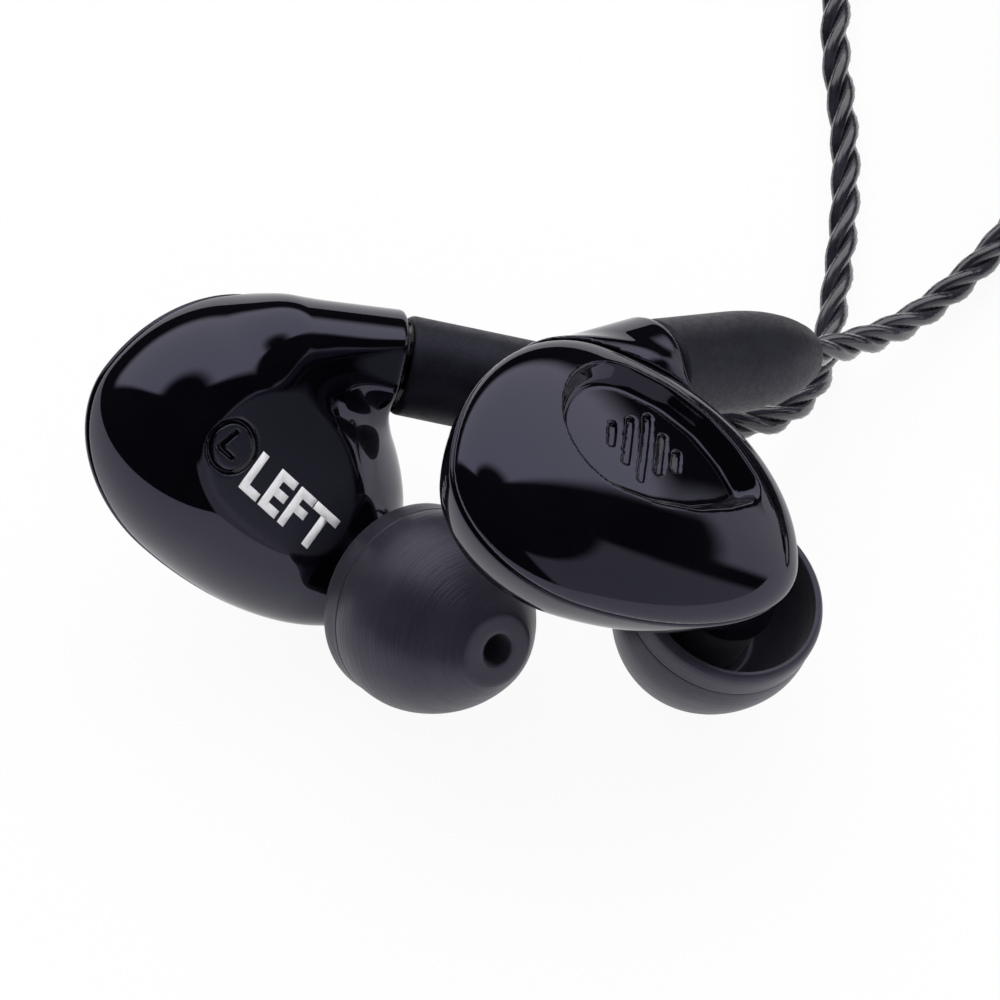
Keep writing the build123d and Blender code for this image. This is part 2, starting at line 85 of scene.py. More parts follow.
def lay_mesh(name, points, faces, side, finish):
    """A smooth mesh piece from points in an earpiece's millimetres, laid on the table."""
    place = np.array(lying(side))
    points = np.asarray(points) @ place[:3, :3].T + place[:3, 3]
    if side == "left":
        faces = [face[::-1] for face in faces]
    mesh = bpy.data.meshes.new(name)
    mesh.from_pydata(points.tolist(), [], faces)
    mesh.polygons.foreach_set("use_smooth", [True] * len(mesh.polygons))
    mesh.materials.append(finish)
    piece = bpy.data.objects.new(name, mesh)
    bpy.context.collection.objects.link(piece)
    return piece


def soft_min(a, b, blend):
    reach = np.maximum(blend - np.abs(a - b), 0) / blend
    return np.minimum(a, b) - reach * reach * blend / 4


def soft_max(a, b, blend):
    return -soft_min(-a, -b, blend)


def egg(x, y, z, inset, outer_depth, inner_depth):
    """How far a point is outside the egg, about; its eight eighths are ellipsoids."""
    rx = np.where(x > 0, 15.0, 9.7) - inset
    ry = np.where(y > 0, 11.0, 7.1) - inset
    rz = np.where(z > 0, outer_depth, inner_depth)
    size = np.sqrt((x / rx) ** 2 + (y / ry) ** 2 + (z / rz) ** 2)
    slope = np.sqrt((x / rx**2) ** 2 + (y / ry**2) ** 2 + (z / rz**2) ** 2)
    return size * (size - 1) / np.maximum(slope, 1e-6)


def cone(x, y, z, base, base_radius, top, top_radius, way):
    """How far a point is outside a round boss whose two end circles face the same way."""
    high = (x - base[0]) * way[0] + (y - base[1]) * way[1] + (z - base[2]) * way[2]
    length = sum((t - b) * w for t, b, w in zip(top, base, way))
    share = high / length
    away = sum((p - b - (t - b) * share) ** 2 for p, b, t in zip((x, y, z), base, top))
    radius = base_radius + (top_radius - base_radius) * share
    return np.maximum(soft_max(np.sqrt(away) - radius, high - length, 0.35), -high)


def swept_ball(x, y, z, start, start_radius, end, end_radius):
    """How far a point is outside a ball that grows or shrinks on its way from start to end."""
    run = [b - a for a, b in zip(start, end)]
    share = sum((p - a) * r for p, a, r in zip((x, y, z), start, run)) / sum(r * r for r in run)
    share = np.clip(share, 0, 1)
    away = sum((p - a - r * share) ** 2 for p, a, r in zip((x, y, z), start, run))
    return np.sqrt(away) - start_radius - (end_radius - start_radius) * share


def rod(x, y, z, seat, way, start, end, radius):
    """How far a point is outside a round rod along way, from start to end past the seat."""
    dx, dy, dz = x - seat[0], y - seat[1], z - seat[2]
    high = dx * way[0] + dy * way[1] + dz * way[2]
    away = np.sqrt(np.maximum(dx * dx + dy * dy + dz * dz - high * high, 0))
    return np.maximum(away - radius, np.maximum(high - end, start - high))


def stroke(u, v, a, b, half):
    """How far a point of the plane is outside a stroke with round ends."""
    run = (b[0] - a[0], b[1] - a[1])
    share = ((u - a[0]) * run[0] + (v - a[1]) * run[1]) / (run[0] ** 2 + run[1] ** 2)
    share = np.clip(share, 0, 1)
    return np.hypot(u - a[0] - run[0] * share, v - a[1] - run[1] * share) - half


def teardrop(u, v, circles):
    """How far a point of the plane is outside the outline drawn round circles on the u axis."""
    best = None
    for (a, ra), (b, rb) in zip(circles, circles[1:]):
        lean = (ra - rb) / (b - a)
        rise = np.sqrt(1 - lean * lean)
        side, along = np.abs(v), u - a
        turn = along * rise - side * lean
        gap = side * rise + along * lean - ra
        gap = np.where(turn < 0, np.hypot(side, along) - ra, gap)
        gap = np.where(turn > (b - a) * rise, np.hypot(side, u - b) - rb, gap)
        best = gap if best is None else np.minimum(best, gap)
    return best


DISH_TURN = radians(-7.4)
DISH_UP = Vector((0.06, 0.14, 0.99)).normalized()
DISH_X = (Vector((1, 0, 0)) - DISH_UP.x * DISH_UP).normalized()
DISH_ALONG = Matrix.Rotation(DISH_TURN, 3, DISH_UP) @ DISH_X
DISH_ACROSS = DISH_UP.cross(DISH_ALONG)
DISH_CENTRE = Vector((3.4, 4.05, 3.0))
DISH_ROUND = ((-2.3, 4.2), (-0.4, 4.1), (1.7, 3.5), (3.9, 2.35), (6.1, 0.9))
DISH_DEPTH = 1.3
DISH_CROWN = 0.014
DISH_FLARE = 0.8
DISH_INSET = 0.3
DISH_SHIFT = 0.25
BARS = (1.8, 3.6, 5.2, 3.0, 1.6)
BAR_PITCH = 1.15
BAR_HALF = 0.275
BAR_DEPTH = 0.32


def cover_shape(x, y, z):
    """The outer cover: half an egg with the dish pressed in and five bars in its floor."""
    shape = soft_max(egg(x, y, z, 0, OUTER_DEPTH, INNER_DEPTH), PARTING_GAP - z, PARTING_EDGE)
    dx, dy, dz = x - DISH_CENTRE.x, y - DISH_CENTRE.y, z - DISH_CENTRE.z
    u = dx * DISH_ALONG.x + dy * DISH_ALONG.y + dz * DISH_ALONG.z
    v = dx * DISH_ACROSS.x + dy * DISH_ACROSS.y + dz * DISH_ACROSS.z - DISH_SHIFT
    up = dx * DISH_UP.x + dy * DISH_UP.y + dz * DISH_UP.z + DISH_DEPTH
    up = up + DISH_CROWN * ((u - 1.2) ** 2 + v * v)
    flare = DISH_FLARE * np.clip(up / DISH_DEPTH, 0, 1)
    dish = soft_max(teardrop(u, v, DISH_ROUND) + DISH_INSET - flare, -up, 0.4)
    shape = soft_max(shape, -dish, 0.2)
    for index, height in enumerate(BARS):
        middle = (index - 2.4) * BAR_PITCH
        reach = height / 2 - BAR_HALF
        bar = stroke(u, v, (middle, -reach), (middle, reach), BAR_HALF)
        shape = soft_max(shape, -soft_max(bar, -BAR_DEPTH - up, 0.1), 0.08)
    hollow = soft_max(egg(x, y, z, WALL, 1.6, 6.4), 0.55 - dish, 0.1)
    return soft_max(shape, -hollow, 0.1)


NECK_START = (-1.4, 8.0, -2.45)
NECK_BLEND = 1.7
BOSS_START = (10.2, 0.4, -2.4)
MARK = (-2.6, 0.35)
MARK_RING = 1.62
MARK_HALF = 0.15
MARK_DEPTH = 0.36
PLUG_BORE = 1.2
SOCKET_BORE = 2.2
NOZZLE_BORE = 1.5
NOZZLE_RECESS = 2.25


def pad_side(x, y, z):
    """How far a point is outside the plane of the flat pad on the inner shell."""
    return 0.026 * x + 0.049 * y - 0.998 * z - 6.48


def inner_shape(x, y, z, letter):
    """The inner shell: the egg's deep half with a flat, the neck, the boss and the side mark."""
    egg_half = egg(x, y, z, 0.03, OUTER_DEPTH, INNER_DEPTH)
    low = soft_max(egg_half, z + PARTING_GAP, PARTING_EDGE)
    flat = pad_side(x, y, z)
    neck = swept_ball(x, y, z, NECK_START, 3.55, NECK_FACE, 3.42)
    past = sum((p - f) * w for p, f, w in zip((x, y, z), NECK_FACE, NECK_WAY))
    low = soft_min(low, soft_max(neck, past, 0.35), NECK_BLEND)
    low = soft_max(low, flat, 0.25)
    top = [s + 0.8 * w for s, w in zip(NOZZLE_SEAT, NOZZLE_WAY)]
    low = soft_min(low, cone(x, y, z, BOSS_START, 3.8, top, 3.3, NOZZLE_WAY), 1.8)
    cover_block = np.maximum(egg(x, y, z, 0, OUTER_DEPTH, INNER_DEPTH), -z)
    low = soft_max(low, 0.06 - cover_block, 0.12)
    across, upward = x - MARK[0], y - MARK[1]
    ring = np.abs(np.hypot(across, upward) - MARK_RING) - MARK_HALF
    for a, b in letter:
        ring = np.minimum(ring, stroke(across, upward, a, b, MARK_HALF))
    low = soft_max(low, -soft_max(ring, -flat - MARK_DEPTH, 0.1), 0.08)
    low = soft_max(low, -egg(x, y, z, WALL, 1.6, 5.95), 0.1)
    for seat, way, start, end, radius in (
            (NECK_FACE, NECK_WAY, -4.2, 9, SOCKET_BORE), (NECK_FACE, NECK_WAY, -10, 0, PLUG_BORE),
            (NOZZLE_SEAT, NOZZLE_WAY, -2.2, 9, NOZZLE_RECESS),
            (NOZZLE_SEAT, NOZZLE_WAY, -6, 0, NOZZLE_BORE)):
        low = np.maximum(low, -rod(x, y, z, seat, way, start, end, radius))
    return low


def skin(shape, low, high, step):
    """The surface of a shape as quads: one point in each cell it crosses, pulled onto it."""
    axes = [np.arange(a, b, step) for a, b in zip(low, high)]
    field = np.stack([shape(*np.meshgrid(x, axes[1], axes[2], indexing="ij"))[0]
                      for x in ([value] for value in axes[0])])
    inside = field < 0
    cells = tuple(n - 1 for n in inside.shape)
    count = np.zeros(cells, int)
    total = np.zeros((*cells, 3))
    hits = np.zeros(cells, int)
    for i in (0, 1):
        for j in (0, 1):
            for k in (0, 1):
                count += inside[i:i + cells[0], j:j + cells[1], k:k + cells[2]]
    faces = []
    busy = (count > 0) & (count < 8)
    number = np.full(cells, -1)
    number[busy] = np.arange(busy.sum())
    for axis in range(3):
        first = [slice(None)] * 3
        second = [slice(None)] * 3
        first[axis] = slice(0, -1)
        second[axis] = slice(1, None)
        a, b = field[tuple(first)], field[tuple(second)]
        crossed = (a < 0) != (b < 0)
        where = np.argwhere(crossed)
        share = a[crossed] / (a[crossed] - b[crossed])
        point = where.astype(float)
        point[:, axis] += share
        others = [k for k in range(3) if k != axis]
        corners = []
        for du, dv in ((0, 0), (1, 0), (1, 1), (0, 1)):
            cell = where.copy()
            cell[:, others[0]] -= du
            cell[:, others[1]] -= dv
            fits = ((cell >= 0) & (cell < cells)).all(axis=1)
            at = tuple(cell[fits].T)
            np.add.at(total, at, point[fits])
            np.add.at(hits, at, 1)
            held = np.full(len(cell), -1)
            held[fits] = number[at]
            corners.append(held)
        quad = np.stack(corners, axis=1)
        flip = (a[crossed] < 0) == (axis == 1)
        quad[flip] = quad[flip][:, ::-1]
        faces.append(quad[(quad >= 0).all(axis=1)])
    points = total[busy] / hits[busy][:, None] * step + np.array(low)
    faces = np.concatenate(faces)
    for rest in range(4):
        if rest:
            pulled = np.zeros_like(points)
            shares = np.zeros(len(points))
            for near in range(4):
                np.add.at(pulled, faces[:, near], points[faces[:, near - 1]])
                np.add.at(shares, faces[:, near], 1)
            points = points * 0.5 + pulled / shares[:, None] * 0.5
        for _ in range(3):
            value = shape(*points.T)
            slope = np.stack([(shape(*(points + nudge).T) - value) / 1e-3
                              for nudge in np.eye(3) * 1e-3], axis=1)
            move = value / np.maximum((slope**2).sum(axis=1), 0.2)
            points = points - np.clip(move, -step, step)[:, None] * slope
    return points, faces.tolist()


def new_finish(name, colour, roughness):
    """A finish with its main shader, ready for nodes of its own."""
    finish = bpy.data.materials.new(name)
    finish.use_nodes = True
    shader = finish.node_tree.nodes["Principled BSDF"]
    shader.inputs["Base Color"].default_value = (*colour, 1)
    shader.inputs["Roughness"].default_value = roughness
    return finish, finish.node_tree, shader


def speckle(tree, scale, detail=4.0):
    """A noise over the piece, this many cells to the metre."""
    place = tree.nodes.new("ShaderNodeTexCoord")
    noise = tree.nodes.new("ShaderNodeTexNoise")
    noise.inputs["Scale"].default_value = scale
    noise.inputs["Detail"].default_value = detail
    tree.links.new(place.outputs["Object"], noise.inputs["Vector"])
    return noise.outputs["Fac"]


def spread_to(tree, source, low, high, socket):
    """Drive a socket from a 0 to 1 texture, between two values."""
    span = tree.nodes.new("ShaderNodeMapRange")
    span.inputs["From Min"].default_value = 0.3
    span.inputs["From Max"].default_value = 0.7
    span.inputs["To Min"].default_value = low
    span.inputs["To Max"].default_value = high
    tree.links.new(source, span.inputs["Value"])
    tree.links.new(span.outputs["Result"], socket)


def tint(tree, source, dark, light, shader):
    """Vary the base colour between two close tones."""
    ramp = tree.nodes.new("ShaderNodeValToRGB")
    ramp.color_ramp.elements[0].position = 0.35
    ramp.color_ramp.elements[1].position = 0.65
    ramp.color_ramp.elements[0].color = (*dark, 1)
    ramp.color_ramp.elements[1].color = (*light, 1)
    tree.links.new(source, ramp.inputs["Fac"])
    tree.links.new(ramp.outputs["Color"], shader.inputs["Base Color"])


def relief(tree, source, strength, distance, shader):
    """Raise and lower the surface a little."""
    bump = tree.nodes.new("ShaderNodeBump")
    bump.inputs["Strength"].default_value = strength
    bump.inputs["Distance"].default_value = distance
    tree.links.new(source, bump.inputs["Height"])
    tree.links.new(bump.outputs["Normal"], shader.inputs["Normal"])


def where_satin_and_painted_reflection(tree, socket, kind, value):
    """Swap what feeds a socket for another value on the marked flat pad: there the roughness is
    its satin finish, and the lighter base colour is a painted reflection of the pale table.
    """
    marked = tree.nodes.new("ShaderNodeAttribute")
    marked.attribute_name = "satin"
    swap = tree.nodes.new("ShaderNodeMix")
    swap.data_type = kind
    gloss_end, pad_end = [end for end in swap.inputs if end.enabled and end.name in ("A", "B")]
    pad_end.default_value = value
    tree.links.new(socket.links[0].from_socket, gloss_end)
    tree.links.new(marked.outputs["Fac"], swap.inputs["Factor"])
    tree.links.new([end for end in swap.outputs if end.enabled][0], socket)


gloss, tree, shader = new_finish("gloss_housing", (0.0015, 0.0015, 0.0026), 0.05)
tint(tree, speckle(tree, 160), (0.0012, 0.0012, 0.0022), (0.002, 0.002, 0.0034), shader)
spread_to(tree, speckle(tree, 2600), 0.03, 0.045, shader.inputs["Roughness"])
# On the flat pad the base colour is lifted as a painted reflection of the pale table; the higher
# roughness there is the pad's satin finish.
where_satin_and_painted_reflection(tree, shader.inputs["Base Color"], "RGBA", (0.0105, 0.0105, 0.016, 1))
where_satin_and_painted_reflection(tree, shader.inputs["Roughness"], "FLOAT", 0.34)
relief(tree, speckle(tree, 3000, 2.0), 0.01, 0.00001, shader)
shader.inputs["IOR"].default_value = 1.6
shader.inputs["Specular Tint"].default_value = (0.72, 0.70, 1.0, 1)

print_ink, tree, shader = new_finish("print_ink", (0.82, 0.82, 0.84), 0.45)
tint(tree, speckle(tree, 9000), (0.86, 0.86, 0.89), (0.94, 0.94, 0.96), shader)

LETTERS = {
    "left": (((-0.35, 0.85), (-0.72, -0.55)), ((-0.72, -0.55), (0.45, -0.55))),
    "right": (((-0.4, -0.8), (-0.4, 0.8)), ((-0.4, -0.8), (0.2, -0.8)),
              ((0.2, -0.8), (0.5, -0.45)), ((0.5, -0.45), (0.2, -0.05)),
              ((0.2, -0.05), (-0.4, -0.05)), ((0.0, 0.0), (0.55, 0.8))),
}
STEP = 0.16
cover_skin = skin(cover_shape, (-10.4, -7.8, -0.5), (15.6, 11.8, 4.2), STEP)
for side in ("left", "right"):
    cover = lay_mesh(f"{side}_shell_cover", *cover_skin, side, gloss)
    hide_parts(f"{side}_cover")

    letter = LETTERS[side]
    points, faces = skin(lambda x, y, z: inner_shape(x, y, z, letter),
                         (-10.4, -7.8, -8.4), (18.6, 17.2, 2.6), STEP)
    inner = lay_mesh(f"{side}_shell_inner", points, faces, side, gloss)
    # The flat pad is marked for its satin roughness and for its lighter base colour, which is a
    # painted reflection.
    satin = np.clip(1.6 - np.abs(pad_side(*points.T)) / 0.03, 0, 1)
    inner.data.attributes.new("satin", "FLOAT", "POINT").data.foreach_set("value", satin)
    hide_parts(f"{side}_inner_housing")
    for piece in (cover, inner):
        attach(piece, "root")

    # The side is printed in white ink beside the mark, on the flat of the inner shell.
    word = bpy.data.curves.new(f"{side}_word", "FONT")
    word.body = side.upper()
    word.size = 3.7
    word.offset = 0.13
    word.space_character = 1.1
    word.extrude = 0.5
    writing = bpy.data.objects.new(f"{side}_word", word)
    flat_word = bpy.data.meshes.new_from_object(writing)
    bpy.data.objects.remove(writing)
    cut = bmesh.new()
    cut.from_mesh(flat_word)
    bmesh.ops.remove_doubles(cut, verts=cut.verts, dist=1e-4)
    for _ in range(2):
        long_edges = [edge for edge in cut.edges if edge.calc_length() > 0.6]
        bmesh.ops.subdivide_edges(cut, edges=long_edges, cuts=1)
    bmesh.ops.triangulate(cut, faces=cut.faces)
    spot = np.array([vertex.co for vertex in cut.verts])
    middle = spot[:, 1].max() / 2
    x = spot[:, 0] * 0.92 - 0.75
    y = (spot[:, 1] - middle) * (1 if side == "left" else -1) + 0.15
    z = np.full(len(x), -6.6)
    for _ in range(12):
        z = z + inner_shape(x, y, z, ()) * 0.9
    z = z - np.where(spot[:, 2] > 0, 0.03, -0.03)
    triangles = [[v.index for v in face.verts] for face in cut.faces]
    if side == "left":
        triangles = [face[::-1] for face in triangles]
    cut.free()
    mark = lay_mesh(f"{side}_print", np.stack([x, y, z], axis=1), triangles, side, print_ink)
    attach(mark, "root")


# ---- Cable legs ----------------------------------------------------------------------------
# Each leg is three black enamelled strands laid up in a rope, glossy as if under a clear skin.
# It leaves its barrel, drops to the table, runs to the coil, takes two turns of it and goes up
# to the splitter.  Every leg is 0.34 m long and 2 mm thick.
COIL = Vector((56.9, 36.4, 0))
TURN_STEPS = 16
SPLITTER_TOP = (80.2, 32.4, 2.6)
TAIL = (
    ((80.2, 48.4, 2.6), (1, 0)), ((76.6, 56.6, 1.8), (0.8, 0.7)),
    ((69.2, 60.0, 1.4), (0.1, 1.1)), ((61.7, 54.0, 1.4), (-0.5, 1.0)),
)
LEGS = {
    "left": [(8.83, 8.89, 7.68), (17.81, 8.55, 4.58), (22.9, 13.0, 1.9), (24.3, 20.9, 1.0),
             (25.4, 31.4, 1.0), (24.2, 43.4, 1.0), (26.9, 54.4, 1.0), (36.4, 59.4, 1.0),
             (46.4, 57.4, 1.4)],
    "right": [(20.29, 11.23, 9.93), (26.34, 15.50, 3.98), (32.4, 21.6, 1.4), (37.0, 27.9, 1.0),
              (40.0, 34.9, 1.6)],
}
LEG_TURNS = {
    "left": (100.2, 2.07, ((0, 17.0, 2.6), (0.3, 16.3, 5.2), (1.0, 16.3, 5.2), (1.3, 16.3, 3.2),
                           (1.85, 16.3, 3.2), (2.07, 17.2, 1.2))),
    "right": (176.0, 2.28, ((0, 18.0, 2.2), (0.3, 18.5, 5.2), (1.0, 18.3, 5.2), (1.3, 18.3, 3.2),
                            (2.0, 18.3, 3.2), (2.28, 18.8, 1.2))),
}


def wind(start, turns, places):
    """Points of coil turns, clockwise from above; places give (turn, radius, height)."""
    points = []
    for index in range(round(turns * TURN_STEPS) + 1):
        turn = index / TURN_STEPS
        radius = float(np.interp(turn, [p[0] for p in places], [p[1] for p in places]))
        high = float(np.interp(turn, [p[0] for p in places], [p[2] for p in places]))
        angle = radians(start - 360 * turn)
        points.append((COIL.x + radius * cos(angle), COIL.y + radius * sin(angle), high))
    return points


def smooth_route(name, points):
    """The route's smooth line as even points, read from its own spline."""
    route = bpy.data.curves.new(name, "CURVE")
    route.dimensions = "3D"
    route.resolution_u = 16
    spline = route.splines.new("NURBS")
    spline.points.add(len(points) - 1)
    for spot, point in zip(spline.points, points):
        spot.co = (*(value * 0.001 for value in point), 1)
    spline.order_u = 3
    spline.use_endpoint_u = True
    holder = bpy.data.objects.new(name, route)
    line = bpy.data.meshes.new_from_object(holder)
    spots = np.array([vertex.co for vertex in line.vertices])
    bpy.data.objects.remove(holder)
    along = np.concatenate([[0], np.cumsum(np.linalg.norm(np.diff(spots, axis=0), axis=1))])
    even = np.linspace(0, along[-1], round(along[-1] / 0.0004))
    return np.stack([np.interp(even, along, spots[:, k]) for k in range(3)], axis=1)


def lay_up(name, line, strands, radius, pitch, finish):
    """Round strands twisted about a line, each touching its neighbours, with closed ends."""
    strand_radius = radius * sin(pi / strands) / (1 + sin(pi / strands))
    helix = radius - strand_radius
    forward = np.gradient(line, axis=0)
    forward /= np.linalg.norm(forward, axis=1)[:, None]
    side_way = np.cross(forward[0], (0, 0, 1.0))
    sides = []
    for way in forward:
        side_way = side_way - side_way.dot(way) * way
        side_way = side_way / np.linalg.norm(side_way)
        sides.append(side_way)
    sides = np.array(sides)
    ups = np.cross(forward, sides)
    along = np.linspace(0, np.linalg.norm(np.diff(line, axis=0), axis=1).sum(), len(line))
    verts, faces = [], []
    around = 9
    for strand in range(strands):
        phase = 2 * pi * (along / pitch + strand / strands)
        out = np.cos(phase)[:, None] * sides + np.sin(phase)[:, None] * ups
        centre = line + out * helix
        run = np.gradient(centre, axis=0)
        run /= np.linalg.norm(run, axis=1)[:, None]
        first = out - (out * run).sum(axis=1)[:, None] * run
        first /= np.linalg.norm(first, axis=1)[:, None]
        second = np.cross(run, first)
        base = len(verts)
        rings = []
        for corner in range(around):
            angle = 2 * pi * corner / around
            round_way = cos(angle) * first + sin(angle) * second
            rings.append(centre + strand_radius * 1.04 * round_way)
        verts.extend(np.stack(rings, axis=1).reshape(-1, 3).tolist())
        for ring in range(len(line) - 1):
            for corner in range(around):
                a = base + ring * around + corner
                b = base + ring * around + (corner + 1) % around
                faces.append((a, b, b + around, a + around))
        faces.append(tuple(range(base + around - 1, base - 1, -1)))
        last = base + (len(line) - 1) * around
        faces.append(tuple(range(last, last + around)))
    mesh = bpy.data.meshes.new(name)
    mesh.from_pydata(verts, [], faces)
    mesh.polygons.foreach_set("use_smooth", [True] * len(mesh.polygons))
    mesh.materials.append(finish)
    piece = bpy.data.objects.new(name, mesh)
    bpy.context.collection.objects.link(piece)
    return piece


jacket, tree, shader = new_finish("cable_jacket", (0.02, 0.02, 0.03), 0.2)
tint(tree, speckle(tree, 500), (0.010, 0.010, 0.016), (0.036, 0.035, 0.05), shader)
spread_to(tree, speckle(tree, 2500), 0.14, 0.3, shader.inputs["Roughness"])
relief(tree, speckle(tree, 5000), 0.12, 0.00005, shader)
shader.inputs["Coat Weight"].default_value = 0.9
shader.inputs["Coat Roughness"].default_value = 0.12

for side, apart in (("left", -1.1), ("right", 1.1)):
    start, turns, places = LEG_TURNS[side]
    tail = [(x + dx * apart, y + dy * apart, z) for (x, y, z), (dx, dy) in reversed(TAIL)]
    top = (SPLITTER_TOP[0] + apart, SPLITTER_TOP[1] - 0.6, SPLITTER_TOP[2])
    line = smooth_route(f"{side}_route", LEGS[side] + wind(start, turns, places) + tail + [top])
    leg = lay_up(f"{side}_cable_leg", line, 3, 0.001, 0.0088, jacket)
    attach(leg, "root")
    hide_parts(f"{side}_leg", "cable_coil", "leg_tails")


# ---- Lead, coil and tie --------------------------------------------------------------------
# Below the splitter one thicker lead, four strands and 2.4 mm thick, carries both legs'
# wires.  Its 0.82 m is wound on itself in eleven turns, held by a woven tie, and its plug
# lies on top of the coil.
LEAD_OUT = [(80.2, 19.4, 2.6), (80.2, 14.6, 2.6), (78.0, 9.8, 1.8), (70.7, 7.4, 1.3),
            (63.7, 11.9, 1.3), (59.2, 19.2, 1.3)]
LEAD_PLACES = (
    (0, 14.4, 1.25), (0.85, 13.6, 1.25), (1.1, 11.3, 1.25), (1.85, 11.3, 1.25), (2.1, 9.0, 1.25),
    (2.85, 9.0, 1.4), (3.1, 9.0, 3.4), (3.85, 9.0, 3.4), (4.1, 11.3, 3.4), (4.85, 11.3, 3.4),
    (5.1, 13.6, 3.4), (5.85, 13.6, 3.5), (6.1, 13.6, 5.5), (6.85, 13.6, 5.5), (7.1, 11.3, 5.5),
    (7.85, 11.3, 5.5), (8.1, 9.0, 5.5), (8.85, 9.0, 5.6), (9.1, 9.2, 7.4), (9.85, 9.2, 7.4),
    (10.1, 11.4, 7.4), (10.8, 11.6, 7.4), (11.0, 13.2, 7.5),
)
LEAD_END = [(54.0, 22.9, 9.2), (48.4, 25.9, 10.4), (45.0, 30.1, 11.3), (44.4, 35.6, 11.7)]
lead_line = smooth_route("lead_route", LEAD_OUT + wind(-86, 10.95, LEAD_PLACES) + LEAD_END)
lead = lay_up("cable_lead", lead_line, 4, 0.0012, 0.0125, jacket)
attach(lead, "root")
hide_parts("lead_ends", "cable_coil")

woven, tree, shader = new_finish("tie_strap", (0.02, 0.02, 0.024), 0.8)
place = tree.nodes.new("ShaderNodeTexCoord")
weave = tree.nodes.new("ShaderNodeTexChecker")
weave.inputs["Scale"].default_value = 3600
tree.links.new(place.outputs["Object"], weave.inputs["Vector"])
relief(tree, weave.outputs["Fac"], 0.5, 0.00012, shader)
tint(tree, speckle(tree, 3000), (0.012, 0.012, 0.015), (0.035, 0.035, 0.042), shader)
nodes["coil_tie"].data.materials.clear()
nodes["coil_tie"].data.materials.append(woven)


# ---- Barrels -------------------------------------------------------------------------------
# The barrel is a turned sleeve of fine-grained soft rubber over the plug.  Its mouth is
# chamfered, and it tapers to a rounded end that grips the leg.
def axis_place(side, seat, way):
    """A right-handed frame in metres with its Z along a piece's axis."""
    place = lying(side)
    origin = place @ Vector(seat)
    out = (place.to_3x3() @ Vector(way)).normalized()
    across = out.orthogonal().normalized()
    turned = Matrix((across, out.cross(across), out)).transposed().to_4x4()
    return Matrix.Translation(origin) @ turned


def rounded(outline, arc_steps=6):
    """A closed outline of (radius, height, corner radius) with its corners rounded."""
    points = []
    for index, (r, s, corner) in enumerate(outline):
        here = Vector((r, s))
        before = Vector(outline[index - 1][:2]) - here
        after = Vector(outline[(index + 1) % len(outline)][:2]) - here
        if not corner:
            points.append(here)
            continue
        cut = min(corner, before.length * 0.48, after.length * 0.48)
        a, b = here + before.normalized() * cut, here + after.normalized() * cut
        for step in range(arc_steps + 1):
            t = step / arc_steps
            points.append(a * (1 - t) ** 2 + here * 2 * t * (1 - t) + b * t * t)
    return points


def turn(name, outline, place, finish, around=112):
    """A turned piece from a closed outline in millimetres about its frame's Z axis."""
    verts, faces = [], []
    size = len(outline)
    for step in range(around):
        angle = 2 * pi * step / around
        for r, s in outline:
            verts.append((r * cos(angle) * 0.001, r * sin(angle) * 0.001, s * 0.001))
    for step in range(around):
        for index in range(size):
            a = step * size + index
            b = step * size + (index + 1) % size
            c = (step + 1) % around * size + (index + 1) % size
            d = (step + 1) % around * size + index
            faces.append((a, b, c, d))
    mesh = bpy.data.meshes.new(name)
    mesh.from_pydata(verts, [], faces)
    shape = bmesh.new()
    shape.from_mesh(mesh)
    bmesh.ops.remove_doubles(shape, verts=shape.verts, dist=1e-7)
    bmesh.ops.recalc_face_normals(shape, faces=shape.faces)
    for face in shape.faces:
        face.smooth = True
    shape.to_mesh(mesh)
    shape.free()
    mesh.materials.append(finish)
    mesh.set_sharp_from_angle(angle=radians(50))
    piece = bpy.data.objects.new(name, mesh)
    piece.matrix_world = place
    bpy.context.collection.objects.link(piece)
    return piece


rubber, tree, shader = new_finish("barrel_rubber", (0.006, 0.006, 0.010), 0.5)
shader.inputs["Specular Tint"].default_value = (0.66, 0.64, 0.92, 1)
shader.inputs["Specular IOR Level"].default_value = 0.32
tint(tree, speckle(tree, 700), (0.0045, 0.0045, 0.0075), (0.0085, 0.0085, 0.0135), shader)
spread_to(tree, speckle(tree, 3000), 0.4, 0.55, shader.inputs["Roughness"])
relief(tree, speckle(tree, 9000, 3.0), 0.25, 0.00005, shader)

BARREL = (
    (2.7, 0.45, 0.1), (3.0, 0.45, 0.12), (3.2, 0.75, 0.15), (3.22, 9.8, 2.4), (3.0, 12.2, 1.2),
    (2.55, 14.3, 1.2), (2.0, 15.8, 0.6), (1.66, 16.3, 0.25), (1.36, 16.3, 0.1), (1.36, 15.6, 0),
    (1.56, 14.8, 0), (1.56, 5.3, 0), (1.56, 2.0, 0), (2.7, 2.0, 0),
)
for side in ("left", "right"):
    place = axis_place(side, NECK_FACE, NECK_WAY)
    barrel = turn(f"{side}_cable_barrel", rounded(BARREL), place, rubber)
    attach(barrel, f"{side}_plug")
    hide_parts(f"{side}_barrel")


# ---- Ear tips ------------------------------------------------------------------------------
# Moulded silicone domes, one soft skirt over a core that grips the nozzle.  A faint mould
# line runs round each near its foot and the surface keeps fine polishing marks.
silicone, tree, shader = new_finish("tip_silicone", (0.021, 0.020, 0.031), 0.46)
shader.inputs["Specular Tint"].default_value = (0.78, 0.76, 1.0, 1)
tint(tree, speckle(tree, 350), (0.018, 0.017, 0.027), (0.025, 0.024, 0.036), shader)
place_node = tree.nodes.new("ShaderNodeTexCoord")
stretch = tree.nodes.new("ShaderNodeMapping")
stretch.inputs["Scale"].default_value = (300, 300, 9000)
marks = tree.nodes.new("ShaderNodeTexNoise")
marks.inputs["Scale"].default_value = 1.0
marks.inputs["Detail"].default_value = 3.0
tree.links.new(place_node.outputs["Object"], stretch.inputs["Vector"])
tree.links.new(stretch.outputs["Vector"], marks.inputs["Vector"])
spread_to(tree, marks.outputs["Fac"], 0.28, 0.46, shader.inputs["Roughness"])
relief(tree, marks.outputs["Fac"], 0.5, 0.00004, shader)
shader.inputs["Sheen Weight"].default_value = 0.08

